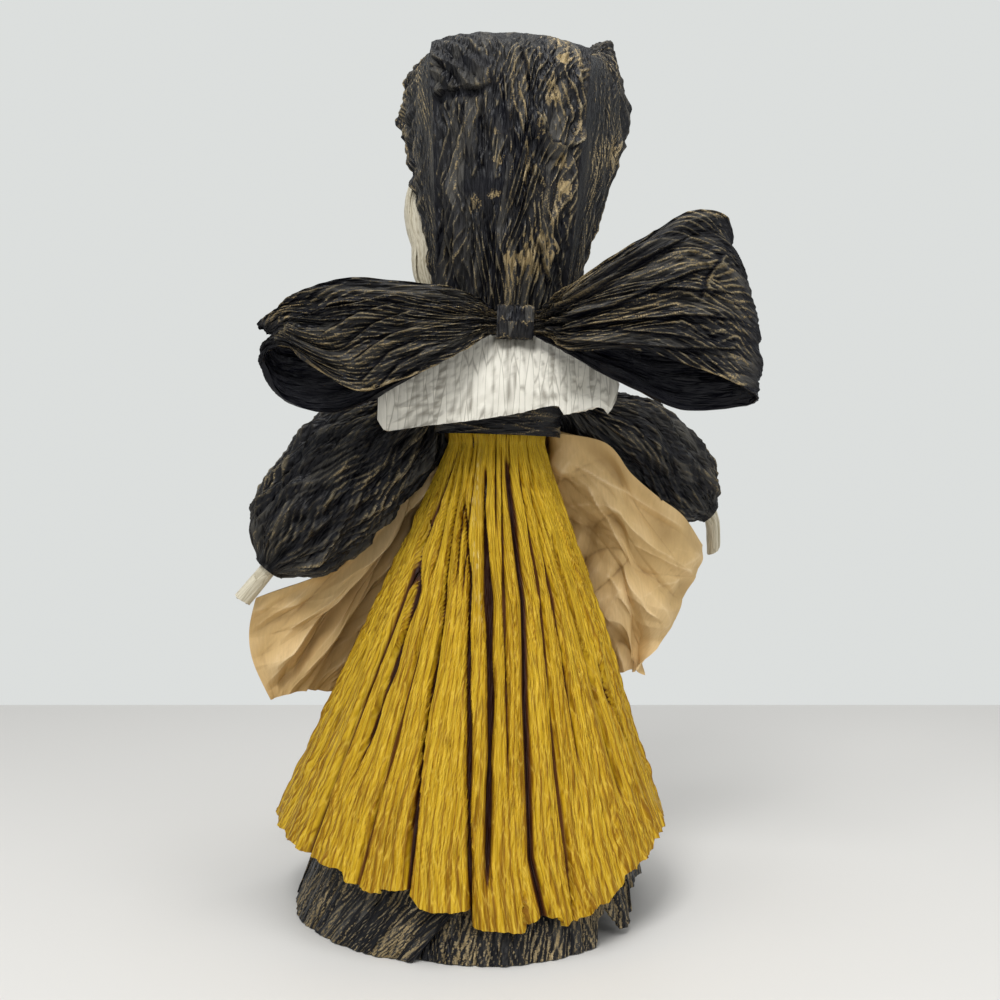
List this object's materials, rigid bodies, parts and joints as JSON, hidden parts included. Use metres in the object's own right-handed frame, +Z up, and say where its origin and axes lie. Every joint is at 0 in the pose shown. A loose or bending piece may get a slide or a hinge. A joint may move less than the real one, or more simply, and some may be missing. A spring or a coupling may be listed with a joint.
{
  "type": "paper twist doll",
  "caption": "Standing doll of crinkled paper ribbon with a bonnet, bow, collar, layered skirt and an apron held out in both hands; the arms lift and the head turns.",
  "frame": {"origin": "on the table, under the middle of the outer box", "axes": "+Z up; the doll looks along -Y; its left hand is on the +X side"},
  "size_m": [0.2144, 0.1629, 0.3686],
  "materials": {
    "black_gold_paper": "satin crinkled paper with gold on its ridges",
    "mustard_paper": "crinkled paper",
    "white_paper": "crinkled paper",
    "cream_paper": "crinkled paper",
    "kraft_paper": "matte creased paper",
    "wire": "bare",
    "skewer_wood": "bare",
    "foam": "foam"
  },
  "bodies": {
    "body": {"spine_rod": "skewer_wood", "torso_core": "cream_paper", "shoulder_wire": "wire", "underskirt_panel_1": "black_gold_paper", "underskirt_panel_2": "black_gold_paper", "underskirt_panel_3": "black_gold_paper", "underskirt_panel_4": "black_gold_paper", "underskirt_panel_5": "black_gold_paper", "overskirt_panel_1": "mustard_paper", "overskirt_panel_2": "mustard_paper", "overskirt_panel_3": "mustard_paper", "overskirt_panel_4": "mustard_paper", "overskirt_panel_5": "mustard_paper", "waist_tie": "wire", "apron": "kraft_paper", "waistband": "black_gold_paper", "bodice": "black_gold_paper", "collar": "white_paper", "bow_left_loop": "black_gold_paper", "bow_right_loop": "black_gold_paper", "bow_band": "black_gold_paper"},
    "left_arm": {"left_arm_wire": "wire", "left_arm_roll": "cream_paper", "left_sleeve": "black_gold_paper", "left_wrist_tie": "wire"},
    "right_arm": {"right_arm_wire": "wire", "right_arm_roll": "cream_paper", "right_sleeve": "black_gold_paper", "right_wrist_tie": "wire"},
    "head": {"head_core": "foam", "face_cover": "cream_paper", "neck_tie": "wire", "hair_left": "cream_paper", "hair_right": "cream_paper", "hair_top": "cream_paper", "bonnet_crown": "black_gold_paper", "bonnet_brim": "black_gold_paper"}
  },
  "joints": [
    {"name": "left_shoulder", "type": "hinge", "parent": "body", "child": "left_arm", "pos_m": [0.02836, -0.003, 0.21408], "axis": [0.0314, -0.9995, 0], "range_deg": [0, 25], "deforming": ["apron"]},
    {"name": "right_shoulder", "type": "hinge", "parent": "body", "child": "right_arm", "pos_m": [-0.0396, -0.003, 0.21165], "axis": [-0.5024, 0.8647, 0], "range_deg": [0, 25], "deforming": ["apron"]},
    {"name": "head_turn", "type": "hinge", "parent": "body", "child": "head", "pos_m": [-0.00666, 0, 0.24185], "axis": [-0.0358, 0, 0.9994], "range_deg": [-20, 20]}
  ]
}
